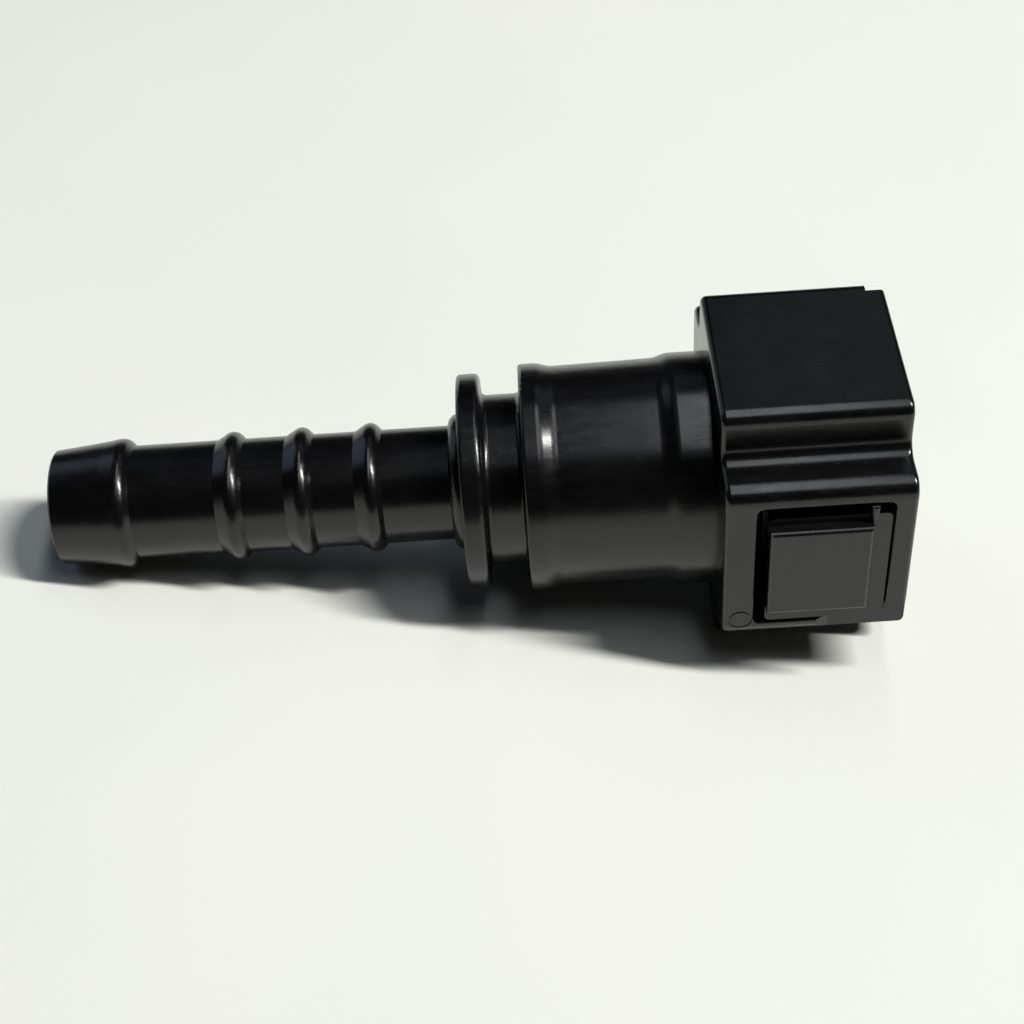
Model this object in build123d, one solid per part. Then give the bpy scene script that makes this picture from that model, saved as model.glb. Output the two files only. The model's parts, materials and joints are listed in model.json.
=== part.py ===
from build123d import *
import math
import os

# Push-button quick connector for a 7.9 mm (5/16 inch) fluid line, with a barbed hose stem.
# Frame: origin on the axis at the stop that the tube's end meets, half way along the part.
# +X runs along the axis towards the mouth, +Z is up, and the release buttons face -Y and +Y.
# Millimetres throughout.

# ---- driving dimensions ----

# overall
overall_length = 58.0
tip_x = -overall_length / 2
mouth_x = overall_length / 2

# hose stem
stem_r = 3.99
stem_tip_r = 4.0
stem_tip_round = 0.12
flow_bore_r = 2.7
barb_crest_r = 4.52
barb_land = 0.5
barb_ramp = 0.9
barb_back = 0.5
barb_crest_round = 0.7
first_barb_x = tip_x + 4.55
first_barb_foot_r = 4.38
barb_x = tip_x + 12.55
barb_pitch = 4.8
barb_count = 3

# flange and neck
flange_x = tip_x + 28.35
flange_width = 1.6
flange_r = 7.5
flange_left_round = 0.3
flange_right_round = 0.4
stem_root_fillet = 0.8
neck_r = 5.95
neck_width = 2.7
neck_left_fillet = 0.45
neck_right_fillet = 0.3

# seal housing: a rim, a barrel that swells a little towards the head, and an end ring
rim_width = 1.25
rim_r = 7.95
rim_round = 0.25
rim_slope = 0.95
barrel_start_r = 7.68
barrel_end_r = 7.8
barrel_end_x = tip_x + 42.1
ring_slope = 0.85
ring_r = 8.08
shoulder_round = 1.5

# head: a cross of two bars, one standing tall and one lying towards the buttons
head_length = 12.5
head_x = mouth_x - head_length
head_half_height = 10.35
head_half_width = 10.15
tall_half_width = 6.65
wide_half_height = 6.8
tall_edge_r = 1.0
wide_edge_r = 1.2
head_corner_r = 1.0
head_back_round = 0.4
head_mouth_round = 0.35
notch_length = 1.3
notch_depth = 1.2

# shallow relief at the lower mouth corner of the front face
relief_start_x = tip_x + 51.9
relief_slope = 0.9
relief_depth = 0.4
relief_top_z = -4.3

# bores
stop_x = 0.0
pilot_r = 4.05
seal_bore_r = 5.7
seal_bore_x = 5.6
stem_bore_chamfer = 0.4

# retainer cavity and windows
cavity_x = tip_x + 47.62
cavity_r = 7.4
window_end_x = tip_x + 56.55
window_half_height = 5.4
window_corner_r = 0.5
window_edge_round = 0.15
pocket_half_width = 3.2
pocket_half_height = 9.1
pocket_corner_r = 0.5

# shallow ring left by an ejector pin on the front of the head
ejector_x = tip_x + 46.75
ejector_z = -4.95
ejector_r = 0.82
ejector_line = 0.12
ejector_depth = 0.06

# seals
o_ring_cord_r = 0.89
o_ring_inner_r = 3.83
seal_gap = 0.1
spacer_width = 2.0
insert_bore_r = 4.15
spacer_r = 5.6
spacer_chamfer = 0.15
bush_flange_r = 6.3
bush_flange_width = 0.45
bush_lead_in = 0.4

# release buttons
button_back_y = 7.15
button_step_y = 10.0
button_face_y = 10.9
button_pad_x = (tip_x + 48.41, tip_x + 55.16)
button_base_end_x = tip_x + 56.43
button_pad_half_height = 3.82
button_base_z = (-5.3, 4.35)
button_base_corner_r = 0.4
button_round = 0.3

# how far a pad or a tooth runs into the piece that it grows from
root_overlap = 0.2

# slack allowed when edges are picked out by where they lie
pick_slack = 0.01

# rounded stop at the upper mouth corner of each button's base
button_stop_x = (tip_x + 54.95, tip_x + 55.5)
button_stop_y = 10.3
button_stop_z = (3.95, 5.2)
button_stop_depth = 0.6
button_stop_round = 0.2

# latching jaws and the arms that spring them
jaw_half_width = 2.6
jaw_tip_r = 4.25
jaw_tooth_x = (tip_x + 50.4, tip_x + 53.6)
jaw_tip_width = 1.2
arm_inner_r = 6.45
arm_outer_r = 7.2
arm_x = (tip_x + 49.0, tip_x + 55.6)
arm_gap = 0.15
arm_end_half_height = 2.0


def ring_solid(outer_r, inner_r, start_x, end_x):
    """A plain tube about the X axis."""
    profile = Plane.XY * Pos(start_x, inner_r) * Rectangle(
        end_x - start_x, outer_r - inner_r, align=(Align.MIN, Align.MIN)
    )
    return revolve(profile, Axis.X)


def rod(radius, start_x, end_x):
    """A round bar about the X axis."""
    disc = Plane.YZ.offset(start_x) * Circle(radius)
    return extrude(disc, end_x - start_x)


def bar(x_range, y_range, z_range):
    """A block given by its limits along each axis."""
    size = [high - low for low, high in (x_range, y_range, z_range)]
    low = (x_range[0], y_range[0], z_range[0])
    return Pos(*low) * Box(*size, align=(Align.MIN, Align.MIN, Align.MIN))


# ---- connector body ----


def corner_of(face, x, y):
    """The profile's vertex nearest to a point."""
    return face.vertices().sort_by_distance((x, y, 0))[0]


def barb_points(crest_start, foot_r):
    """A barb's ramp, crest and back, from the hose end towards the flange."""
    crest_end = crest_start + barb_land
    return [
        (crest_start - barb_ramp, foot_r),
        (crest_start, barb_crest_r),
        (crest_end, barb_crest_r),
        (crest_end + barb_back, stem_r),
    ]


def stem_profile():
    """Half outline of the stem, from its tip to inside the flange."""
    crests = [first_barb_x] + [barb_x - barb_land / 2 + index * barb_pitch for index in range(barb_count)]
    points = [
        (tip_x, 0),
        (tip_x, stem_tip_r - stem_tip_round),
        (tip_x + stem_tip_round, stem_tip_r),
    ]
    points += barb_points(crests[0], first_barb_foot_r)
    for crest in crests[1:]:
        points += barb_points(crest, stem_r)
    points += [
        (flange_x + flange_width / 2, stem_r),
        (flange_x + flange_width / 2, 0),
    ]
    face = make_face(Polyline(*points, close=True))
    for crest in crests:
        ends = [corner_of(face, x, barb_crest_r) for x in (crest, crest + barb_land)]
        face = fillet(ends, barb_crest_round)
    return face


def housing_profile():
    """Half outline of flange, neck, seal housing and end ring."""
    neck_x = flange_x + flange_width
    rim_x = neck_x + neck_width
    rim_end_x = rim_x + rim_width
    barrel_x = rim_end_x + rim_slope
    ring_x = barrel_end_x + ring_slope
    points = [
        (flange_x, 0),
        (flange_x, flange_r),
        (neck_x, flange_r),
        (neck_x, neck_r),
        (rim_x, neck_r),
        (rim_x, rim_r),
        (rim_end_x, rim_r),
        (barrel_x, barrel_start_r),
        (barrel_end_x, barrel_end_r),
        (ring_x, ring_r),
        (head_x + head_back_round, ring_r),
        (head_x + head_back_round, 0),
    ]
    face = make_face(Polyline(*points, close=True))
    rounds = [
        (neck_x, neck_r, neck_left_fillet),
        (rim_x, neck_r, neck_right_fillet),
        (flange_x, flange_r, flange_left_round),
        (neck_x, flange_r, flange_right_round),
        (rim_x, rim_r, rim_round),
        (rim_end_x, rim_r, shoulder_round),
        (barrel_x, barrel_start_r, shoulder_round),
        (barrel_end_x, barrel_end_r, shoulder_round),
        (ring_x, ring_r, shoulder_round),
    ]
    for x, y, radius in rounds:
        face = fillet([corner_of(face, x, y)], radius)
    return face


def stem_root():
    """The fillet that runs from the stem up into the flange."""
    start = (flange_x - stem_root_fillet, stem_r)
    end = (flange_x, stem_r + stem_root_fillet)
    inside_x = flange_x + flange_width / 2
    inside_r = stem_r - stem_root_fillet / 2
    edges = [
        RadiusArc(start, end, stem_root_fillet),
        Line(end, (inside_x, end[1])),
        Line((inside_x, end[1]), (inside_x, inside_r)),
        Line((inside_x, inside_r), (start[0], inside_r)),
        Line((start[0], inside_r), start),
    ]
    return revolve(make_face(edges), Axis.X)


def cross_outline():
    """The head's cross-shaped section, seen along the axis."""
    y_in, y_out = tall_half_width, head_half_width
    z_in, z_out = wide_half_height, head_half_height
    points = [
        (y_in, z_out),
        (y_in, z_in),
        (y_out, z_in),
        (y_out, -z_in),
        (y_in, -z_in),
        (y_in, -z_out),
        (-y_in, -z_out),
        (-y_in, -z_in),
        (-y_out, -z_in),
        (-y_out, z_in),
        (-y_in, z_in),
        (-y_in, z_out),
    ]
    outline = make_face(Polyline(*points, close=True))
    for y, z, radius in (
        (y_in, z_in, head_corner_r),
        (y_in, z_out, tall_edge_r),
        (y_out, z_in, wide_edge_r),
    ):
        corners = [corner_of(outline, side * y, end * z) for side in (-1, 1) for end in (-1, 1)]
        outline = fillet(corners, radius)
    return outline


def head_block():
    """The stepped head, rounded at both ends."""
    block = extrude(Plane.YZ.offset(head_x) * cross_outline(), head_length)
    back_edges = block.faces().sort_by(Axis.X)[0].outer_wire().edges()
    block = fillet(back_edges, head_back_round)
    mouth_edges = block.faces().sort_by(Axis.X)[-1].outer_wire().edges()
    return fillet(mouth_edges, head_mouth_round)


def corner_notches():
    """Small notches at the mouth end of the tall bar's rear corners."""
    x_range = (mouth_x - notch_length, mouth_x + 1)
    y_range = (tall_half_width - notch_depth, tall_half_width + 1)
    upper = bar(x_range, y_range, (wide_half_height + head_corner_r, head_half_height + 1))
    return upper + mirror(upper, Plane.XY)


def front_relief():
    """A shallow step back at the lower mouth corner of the front face, with a sloping start."""
    face_y = -head_half_width
    outline = [
        (relief_start_x, face_y),
        (relief_start_x + relief_slope, face_y + relief_depth),
        (mouth_x + 1, face_y + relief_depth),
        (mouth_x + 1, face_y - 1),
        (relief_start_x, face_y - 1),
    ]
    section = Plane.XY.offset(-head_half_height) * make_face(Polyline(*outline, close=True))
    return extrude(section, head_half_height + relief_top_z)


def cavity():
    """The retainer's chamber: round, with pockets for the jaws, and open at the mouth."""
    depth = mouth_x + 1 - cavity_x
    plane = Plane.YZ.offset(cavity_x)
    chamber = extrude(plane * Circle(cavity_r), depth)
    pocket = RectangleRounded(2 * pocket_half_width, 2 * pocket_half_height, pocket_corner_r)
    return chamber + extrude(plane * pocket, depth)


def window():
    """The opening that goes through both sides of the head, for the buttons."""
    width = window_end_x - cavity_x
    outline = RectangleRounded(width, 2 * window_half_height, window_corner_r)
    plane = Plane.XZ.offset(-head_half_width - 1)
    centre = (cavity_x + window_end_x) / 2
    return extrude(plane * Pos(centre, 0) * outline, 2 * head_half_width + 2)


def bores():
    """Flow bore, tube pilot and seal bore."""
    flow = rod(flow_bore_r, tip_x - 1, stop_x + 1)
    pilot = rod(pilot_r, stop_x, seal_bore_x + 1)
    seal = rod(seal_bore_r, seal_bore_x, cavity_x + 1)
    return flow + pilot + seal


def ejector_mark():
    """A fine ring sunk in the front of the head."""
    plane = Plane.XZ.offset(head_half_width - ejector_depth)
    disc = Circle(ejector_r) - Circle(ejector_r - ejector_line)
    return extrude(plane * Pos(ejector_x, ejector_z) * disc, 1)


def soften_openings(body):
    """Break the sharp edges of the windows and of the stem's bore."""
    rim = [
        e for e in body.edges()
        if abs(abs(e.center().Y) - head_half_width) < pick_slack
        and cavity_x - pick_slack < e.center().X < window_end_x + pick_slack
        and abs(e.center().Z) < window_half_height + pick_slack
    ]
    body = fillet(rim, window_edge_round)
    tip_edges = body.edges().filter_by(GeomType.CIRCLE).group_by(Axis.X)[0]
    return chamfer([tip_edges.sort_by(SortBy.RADIUS)[0]], stem_bore_chamfer)


def make_connector_body():
    body = revolve(stem_profile(), Axis.X)
    body += stem_root()
    body += revolve(housing_profile(), Axis.X)
    body += head_block()
    body -= corner_notches()
    body -= bores()
    body -= cavity()
    body -= window()
    body = soften_openings(body)
    body -= front_relief()
    return body - ejector_mark()


# ---- seals ----


def make_o_ring(centre_x):
    centre_r = o_ring_inner_r + o_ring_cord_r
    section = Plane.XY * Pos(centre_x, centre_r) * Circle(o_ring_cord_r)
    return revolve(section, Axis.X)


inner_o_ring_x = seal_bore_x + seal_gap + o_ring_cord_r
spacer_x = inner_o_ring_x + o_ring_cord_r + seal_gap
outer_o_ring_x = spacer_x + spacer_width + seal_gap + o_ring_cord_r
bush_x = outer_o_ring_x + o_ring_cord_r + seal_gap


def make_spacer_ring():
    ring = ring_solid(spacer_r, insert_bore_r, spacer_x, spacer_x + spacer_width)
    return chamfer(ring.edges(), spacer_chamfer)


def make_seal_retaining_bush():
    """Pressed into the seal bore, with a thin flange against the cavity's floor."""
    end_x = cavity_x + bush_flange_width
    barrel = ring_solid(seal_bore_r, insert_bore_r, bush_x, cavity_x)
    flange = ring_solid(bush_flange_r, insert_bore_r, cavity_x, end_x)
    bush = barrel + flange
    mouth = bush.edges().filter_by(GeomType.CIRCLE).group_by(Axis.X)[-1].sort_by(SortBy.RADIUS)[0]
    return chamfer([mouth], bush_lead_in)


# ---- retainer ----


def make_front_button():
    """Base plate inside the window, the pad that stands proud of it, and a small stop."""
    pad_start, pad_end = button_pad_x
    base = bar(
        (pad_start, button_base_end_x),
        (-button_step_y, -button_back_y),
        button_base_z,
    )
    base = fillet(base.edges().filter_by(Axis.Y), button_base_corner_r)
    pad = bar(
        (pad_start, pad_end),
        (-button_face_y, -button_step_y + root_overlap),
        (-button_pad_half_height, button_pad_half_height),
    )
    pad = fillet(pad.faces().sort_by(Axis.Y)[0].edges(), button_round)
    stop = bar(button_stop_x, (-button_stop_y, button_stop_depth - button_stop_y), button_stop_z)
    stop = fillet(stop.faces().sort_by(Axis.Y)[0].edges(), button_stop_round)
    return base + pad + stop


def make_upper_jaw():
    """A stretch of the retainer ring with the tooth that catches the tube's bead."""
    start_x, end_x = arm_x
    band = ring_solid(arm_outer_r, arm_inner_r, start_x, end_x)
    block = bar((start_x, end_x), (-jaw_half_width, jaw_half_width), (0, arm_outer_r))
    band = band & block
    tooth_start, tooth_end = jaw_tooth_x
    tooth_profile = [
        (tooth_start, arm_inner_r + root_overlap),
        (tooth_start, jaw_tip_r),
        (tooth_start + jaw_tip_width, jaw_tip_r),
        (tooth_end, arm_inner_r),
        (tooth_end, arm_inner_r + root_overlap),
    ]
    tooth = revolve(make_face(Polyline(*tooth_profile, close=True)), Axis.X)
    return band + (tooth & block)


def make_spring_arm():
    """One quarter of the retainer ring, between the upper jaw and the front button."""
    start_x, end_x = arm_x
    band = ring_solid(arm_outer_r, arm_inner_r, start_x, end_x)
    space = bar(
        (start_x, end_x),
        (-button_back_y + arm_gap, -jaw_half_width - arm_gap),
        (arm_end_half_height, arm_outer_r),
    )
    return band & space


def make_spring_arms():
    """The four arms of the ring, a group of separate solids."""
    upper_front = make_spring_arm()
    upper = [upper_front, mirror(upper_front, Plane.XZ)]
    lower = [mirror(arm, Plane.XY) for arm in upper]
    return Compound(children=[solid for arm in upper + lower for solid in arm.solids()])


front_button = make_front_button()
upper_jaw = make_upper_jaw()

nodes = {
    "connector_body": make_connector_body(),
    "inner_o_ring": make_o_ring(inner_o_ring_x),
    "spacer_ring": make_spacer_ring(),
    "outer_o_ring": make_o_ring(outer_o_ring_x),
    "seal_retaining_bush": make_seal_retaining_bush(),
    "release_button_front": front_button,
    "release_button_rear": mirror(front_button, Plane.XZ),
    "latch_jaw_upper": upper_jaw,
    "latch_jaw_lower": mirror(upper_jaw, Plane.XY),
    "retainer_spring_arms": make_spring_arms(),
}

os.makedirs("parts", exist_ok=True)
for name, shape in nodes.items():
    export_step(shape, f"parts/{name}.step")
    box = shape.bounding_box()
    print(f"{name:24s} {shape.volume:9.2f} mm3  X {box.min.X:7.2f} to {box.max.X:7.2f}")
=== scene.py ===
import json
import math

import bmesh
import bpy
from mathutils import Matrix, Vector


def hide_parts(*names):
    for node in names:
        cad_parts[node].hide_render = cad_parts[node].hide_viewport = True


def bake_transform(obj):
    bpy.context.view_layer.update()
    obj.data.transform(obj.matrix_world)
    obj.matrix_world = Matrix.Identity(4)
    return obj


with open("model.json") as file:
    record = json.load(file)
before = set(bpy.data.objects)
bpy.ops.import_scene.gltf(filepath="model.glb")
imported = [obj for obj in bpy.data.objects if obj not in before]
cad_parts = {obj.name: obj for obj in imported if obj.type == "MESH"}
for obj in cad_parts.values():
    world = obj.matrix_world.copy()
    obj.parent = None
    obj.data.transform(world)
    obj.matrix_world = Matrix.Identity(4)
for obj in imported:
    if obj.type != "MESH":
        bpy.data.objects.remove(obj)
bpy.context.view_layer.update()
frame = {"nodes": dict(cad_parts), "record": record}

# ---- named values, in metres and degrees ----

MM = 0.001
NODES = frame["nodes"]

# camera, looking down on the part from the front button's side
CAMERA_TARGET = Vector((0.0026, 0.0, -0.00332))
CAMERA_DISTANCE = 0.13526
CAMERA_YAW = 1.33
CAMERA_ELEVATION = 44.75
CAMERA_ROLL = -4.57
CAMERA_LENS = 66.58
SENSOR_WIDTH = 36.0
CAMERA_CLIP_START = 0.005

# where the part's weight acts along X, which settles what it rests on
WEIGHT_X = 0.0112
FLOOR_SIZE = 1.6

# lights: the key, a strip overhead, a dim window behind left and a pale wall behind right
KEY_DIRECTION = Vector((0.85, -0.15, 1.0))
KEY_DISTANCE = 0.9
KEY_SIZE = (0.06, 0.42)
KEY_POWER = 9.0
KEY_COLOUR = (1.0, 0.985, 0.95)
CEILING_DIRECTION = Vector((0.18, 0.0, 1.0))
CEILING_DISTANCE = 0.33
CEILING_SIZE = (0.34, 0.04)
CEILING_POWER = 0.19
CEILING_COLOUR = (0.90, 0.95, 1.0)
WINDOW_DIRECTION = Vector((-1.0, 0.75, 0.8))
WINDOW_DISTANCE = 0.6
WINDOW_SIZE = (0.45, 0.45)
WINDOW_POWER = 0.38
WINDOW_COLOUR = (0.62, 0.78, 1.0)
WALL_DIRECTION = Vector((0.36, 0.72, 0.70))
WALL_DISTANCE = 0.4
WALL_SIZE = (0.2, 0.1)
WALL_POWER = 0.016
WALL_COLOUR = (0.85, 0.92, 1.0)
ROOM_STRENGTH = 0.005
ROOM_COLOUR = (0.80, 0.86, 1.0)


# materials: features to a millimetre, depths in millimetres
NYLON_IOR = 1.53
RUBBER_IOR = 1.5
FLOW_STRETCH = (0.25, 1, 1)
CLOUDS_PER_MM = 0.35
GRAINS_PER_MM = 7.0
FLOW_MARKS_PER_MM = 2.2
BLOOM_PER_MM = 0.8
RUBBER_GRAINS_PER_MM = 12.0
RUBBER_GRAIN_DEPTH = 0.006
RUBBER_DARK = (0.006, 0.006, 0.006)
RUBBER_LIGHT = (0.014, 0.014, 0.015)
RUBBER_SMOOTH = 0.42
RUBBER_ROUGH = 0.62
FIBRES_PER_MM = 2.5
FIBRE_DEPTH = 0.01
TONES_PER_MM = 0.02
PAPER_DARK = (0.80, 0.83, 0.77)
PAPER_LIGHT = (0.84, 0.85, 0.81)
PAPER_ROUGHNESS = 0.8


# ---- shader helpers ----


def new_material(name):
    """An empty node material with its Principled shader, and a maker of nodes in it."""
    material = bpy.data.materials.new(name)
    material.use_nodes = True
    tree = material.node_tree
    shader = tree.nodes["Principled BSDF"]

    def add(kind, **values):
        node = tree.nodes.new(kind)
        for key, value in values.items():
            if key in node.inputs:
                node.inputs[key].default_value = value
            else:
                setattr(node, key, value)
        return node

    return material, tree, shader, add


def millimetre_coordinates(tree, add, stretch=(1, 1, 1)):
    """The piece's own coordinates in millimetres, squeezed by stretch along each axis."""
    coordinates = add("ShaderNodeTexCoord")
    mapping = add("ShaderNodeMapping")
    mapping.inputs["Scale"].default_value = [s / MM for s in stretch]
    tree.links.new(coordinates.outputs["Object"], mapping.inputs["Vector"])
    return mapping.outputs["Vector"]


def noise(tree, add, vector, per_mm, detail=3.0, roughness=0.55):
    """Noise with about per_mm features to a millimetre."""
    node = add("ShaderNodeTexNoise", Scale=per_mm, Detail=detail, Roughness=roughness)
    tree.links.new(vector, node.inputs["Vector"])
    return node.outputs["Fac"]


def remap(tree, add, value, low, high, from_low=0.3, from_high=0.7):
    """value stretched from its usual spread onto low to high."""
    node = add("ShaderNodeMapRange")
    node.inputs["From Min"].default_value = from_low
    node.inputs["From Max"].default_value = from_high
    node.inputs["To Min"].default_value = low
    node.inputs["To Max"].default_value = high
    tree.links.new(value, node.inputs["Value"])
    return node.outputs["Result"]


def mix_colours(tree, add, factor, first, second):
    """From the first colour at factor 0 to the second at 1."""
    node = add("ShaderNodeMix", data_type="RGBA")
    node.inputs["A"].default_value = (*first, 1)
    node.inputs["B"].default_value = (*second, 1)
    tree.links.new(factor, node.inputs["Factor"])
    return node.outputs["Result"]


def bump(tree, add, height, depth_mm, before=None):
    """A bump of that depth, on top of an earlier one."""
    node = add("ShaderNodeBump", Strength=1.0, Distance=depth_mm * MM)
    tree.links.new(height, node.inputs["Height"])
    if before is not None:
        tree.links.new(before, node.inputs["Normal"])
    return node.outputs["Normal"]


# ---- materials ----


def moulded_nylon(name, dark, light, smooth, rough, grain_depth, flow_depth):
    """Moulded nylon: fine spark grain, fibre flow marks along the axis and cloudy gloss."""
    material, tree, shader, add = new_material(name)
    plain = millimetre_coordinates(tree, add)
    along = millimetre_coordinates(tree, add, stretch=FLOW_STRETCH)
    cloud = noise(tree, add, plain, CLOUDS_PER_MM, detail=4.0)
    grain = noise(tree, add, plain, GRAINS_PER_MM, detail=2.0, roughness=0.7)
    flow = noise(tree, add, along, FLOW_MARKS_PER_MM, detail=5.0, roughness=0.65)
    colour = mix_colours(tree, add, remap(tree, add, cloud, 0, 1), dark, light)
    tree.links.new(colour, shader.inputs["Base Color"])
    tree.links.new(remap(tree, add, flow, smooth, rough), shader.inputs["Roughness"])
    normal = bump(tree, add, flow, flow_depth)
    normal = bump(tree, add, grain, grain_depth, normal)
    tree.links.new(normal, shader.inputs["Normal"])
    shader.inputs["IOR"].default_value = NYLON_IOR
    return material


def seal_rubber(name):
    """Moulded rubber: very dark, with a bloom that dulls it in patches."""
    material, tree, shader, add = new_material(name)
    plain = millimetre_coordinates(tree, add)
    bloom = noise(tree, add, plain, BLOOM_PER_MM, detail=5.0)
    grain = noise(tree, add, plain, RUBBER_GRAINS_PER_MM, detail=2.0)
    colour = mix_colours(tree, add, remap(tree, add, bloom, 0, 1), RUBBER_DARK, RUBBER_LIGHT)
    tree.links.new(colour, shader.inputs["Base Color"])
    tree.links.new(remap(tree, add, bloom, RUBBER_SMOOTH, RUBBER_ROUGH), shader.inputs["Roughness"])
    tree.links.new(bump(tree, add, grain, RUBBER_GRAIN_DEPTH), shader.inputs["Normal"])
    shader.inputs["IOR"].default_value = RUBBER_IOR
    return material


def paper(name):
    """The pale sheet that the part lies on."""
    material, tree, shader, add = new_material(name)
    plain = millimetre_coordinates(tree, add)
    fibres = noise(tree, add, plain, FIBRES_PER_MM, detail=4.0)
    tone = noise(tree, add, plain, TONES_PER_MM, detail=2.0)
    colour = mix_colours(tree, add, remap(tree, add, tone, 0, 1), PAPER_DARK, PAPER_LIGHT)
    tree.links.new(colour, shader.inputs["Base Color"])
    tree.links.new(bump(tree, add, fibres, FIBRE_DEPTH), shader.inputs["Normal"])
    shader.inputs["Roughness"].default_value = PAPER_ROUGHNESS
    return material


SLOT_MATERIALS = {
    "body_nylon": moulded_nylon(
        "body_nylon_look",
        dark=(0.0015, 0.0015, 0.0018),
        light=(0.004, 0.004, 0.0045),
        smooth=0.20,
        rough=0.29,
        grain_depth=0.003,
        flow_depth=0.0025,
    ),
    "retainer_nylon": moulded_nylon(
        "retainer_nylon_look",
        dark=(0.002, 0.002, 0.0025),
        light=(0.005, 0.005, 0.0055),
        smooth=0.23,
        rough=0.32,
        grain_depth=0.003,
        flow_depth=0.0025,
    ),
    "insert_nylon": moulded_nylon(
        "insert_nylon_look",
        dark=(0.030, 0.030, 0.032),
        light=(0.045, 0.045, 0.048),
        smooth=0.40,
        rough=0.55,
        grain_depth=0.005,
        flow_depth=0.008,
    ),
    "seal_rubber": seal_rubber("seal_rubber_look"),
}


def dress_nodes():
    """Each CAD node takes the look of its record's material slot."""
    for subpart in frame["record"]["subparts"]:
        node = NODES[subpart["node"]]
        node.data.materials.clear()
        node.data.materials.append(SLOT_MATERIALS[subpart["material_slot"]])


# ---- spring arms ----


def make_spring_arm(name, y_side, z_side):
    """One of the retainer's spring arms, cut out of the CAD node that holds all four."""
    mesh = NODES["retainer_spring_arms"].data.copy()
    mesh.name = name
    cut = bmesh.new()
    cut.from_mesh(mesh)
    others = [v for v in cut.verts if v.co.y * y_side < 0 or v.co.z * z_side < 0]
    bmesh.ops.delete(cut, geom=others, context="VERTS")
    cut.to_mesh(mesh)
    cut.free()
    arm = bpy.data.objects.new(name, mesh)
    bpy.context.collection.objects.link(arm)
    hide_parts("retainer_spring_arms")
    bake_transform(arm)


def make_spring_arms():
    """All four arms, in the place of the CAD node that holds them."""
    for y_side, side_name in ((-1, "front"), (1, "rear")):
        for z_side, end_name in ((1, "upper"), (-1, "lower")):
            make_spring_arm(f"spring_arm_{end_name}_{side_name}", y_side, z_side)


# ---- floor, light and camera ----


def resting_line():
    """The two points, in X and Z, that the part rests on: the lower hull's edge under its weight."""
    points = sorted({(v.co.x, v.co.z) for node in NODES.values() for v in node.data.vertices})
    hull = []
    for point in points:
        while len(hull) > 1 and turn(hull[-2], hull[-1], point) <= 0:
            hull.pop()
        hull.append(point)
    return next((a, b) for a, b in zip(hull, hull[1:]) if a[0] <= WEIGHT_X < b[0])


def turn(a, b, c):
    """Positive where the path from a through b to c turns to the left."""
    return (b[0] - a[0]) * (c[1] - a[1]) - (b[1] - a[1]) * (c[0] - a[0])


def make_floor():
    """A large plane under the two resting points."""
    left, right = resting_line()
    slope = (right[1] - left[1]) / (right[0] - left[0])
    half = FLOOR_SIZE / 2
    middle_z = left[1] - left[0] * slope
    outline = ((-half, -half), (half, -half), (half, half), (-half, half))
    corners = [(x, y, middle_z + slope * x) for x, y in outline]
    mesh = bpy.data.meshes.new("floor")
    mesh.from_pydata(corners, [], [(0, 1, 2, 3)])
    floor = bpy.data.objects.new("floor", mesh)
    floor.data.materials.append(paper("paper_look"))
    bpy.context.collection.objects.link(floor)


def add_softbox(name, direction, distance, size, power, colour):
    """A rectangular area light that faces the origin."""
    data = bpy.data.lights.new(name, "AREA")
    data.shape = "RECTANGLE"
    data.size, data.size_y = size
    data.energy = power
    data.color = colour
    light = bpy.data.objects.new(name, data)
    light.location = direction.normalized() * distance
    light.rotation_euler = direction.to_track_quat("Z", "Y").to_euler()
    bpy.context.collection.objects.link(light)


def light_room():
    """A nearly dark room with four softboxes."""
    world = bpy.data.worlds.new("room")
    world.use_nodes = True
    background = world.node_tree.nodes["Background"]
    background.inputs["Color"].default_value = (*ROOM_COLOUR, 1)
    background.inputs["Strength"].default_value = ROOM_STRENGTH
    bpy.context.scene.world = world
    add_softbox("key", KEY_DIRECTION, KEY_DISTANCE, KEY_SIZE, KEY_POWER, KEY_COLOUR)
    add_softbox("ceiling", CEILING_DIRECTION, CEILING_DISTANCE, CEILING_SIZE, CEILING_POWER, CEILING_COLOUR)
    add_softbox("wall", WALL_DIRECTION, WALL_DISTANCE, WALL_SIZE, WALL_POWER, WALL_COLOUR)
    add_softbox("window", WINDOW_DIRECTION, WINDOW_DISTANCE, WINDOW_SIZE, WINDOW_POWER, WINDOW_COLOUR)


def add_camera():
    """The camera, turned, raised and rolled about its target."""
    data = bpy.data.cameras.new("camera")
    data.lens = CAMERA_LENS
    data.sensor_width = SENSOR_WIDTH
    data.clip_start = CAMERA_CLIP_START
    camera = bpy.data.objects.new("camera", data)
    turned = Matrix.Rotation(math.radians(CAMERA_YAW), 4, "Z")
    raised = Matrix.Rotation(math.radians(90 - CAMERA_ELEVATION), 4, "X")
    rolled = Matrix.Rotation(math.radians(CAMERA_ROLL), 4, "Z")
    facing = turned @ raised @ rolled
    back = facing @ Vector((0, 0, CAMERA_DISTANCE))
    camera.matrix_world = Matrix.Translation(CAMERA_TARGET + back) @ facing
    bpy.context.collection.objects.link(camera)
    bpy.context.scene.camera = camera


dress_nodes()
make_spring_arms()
make_floor()
light_room()
add_camera()
bpy.context.scene.view_settings.view_transform = "Standard"
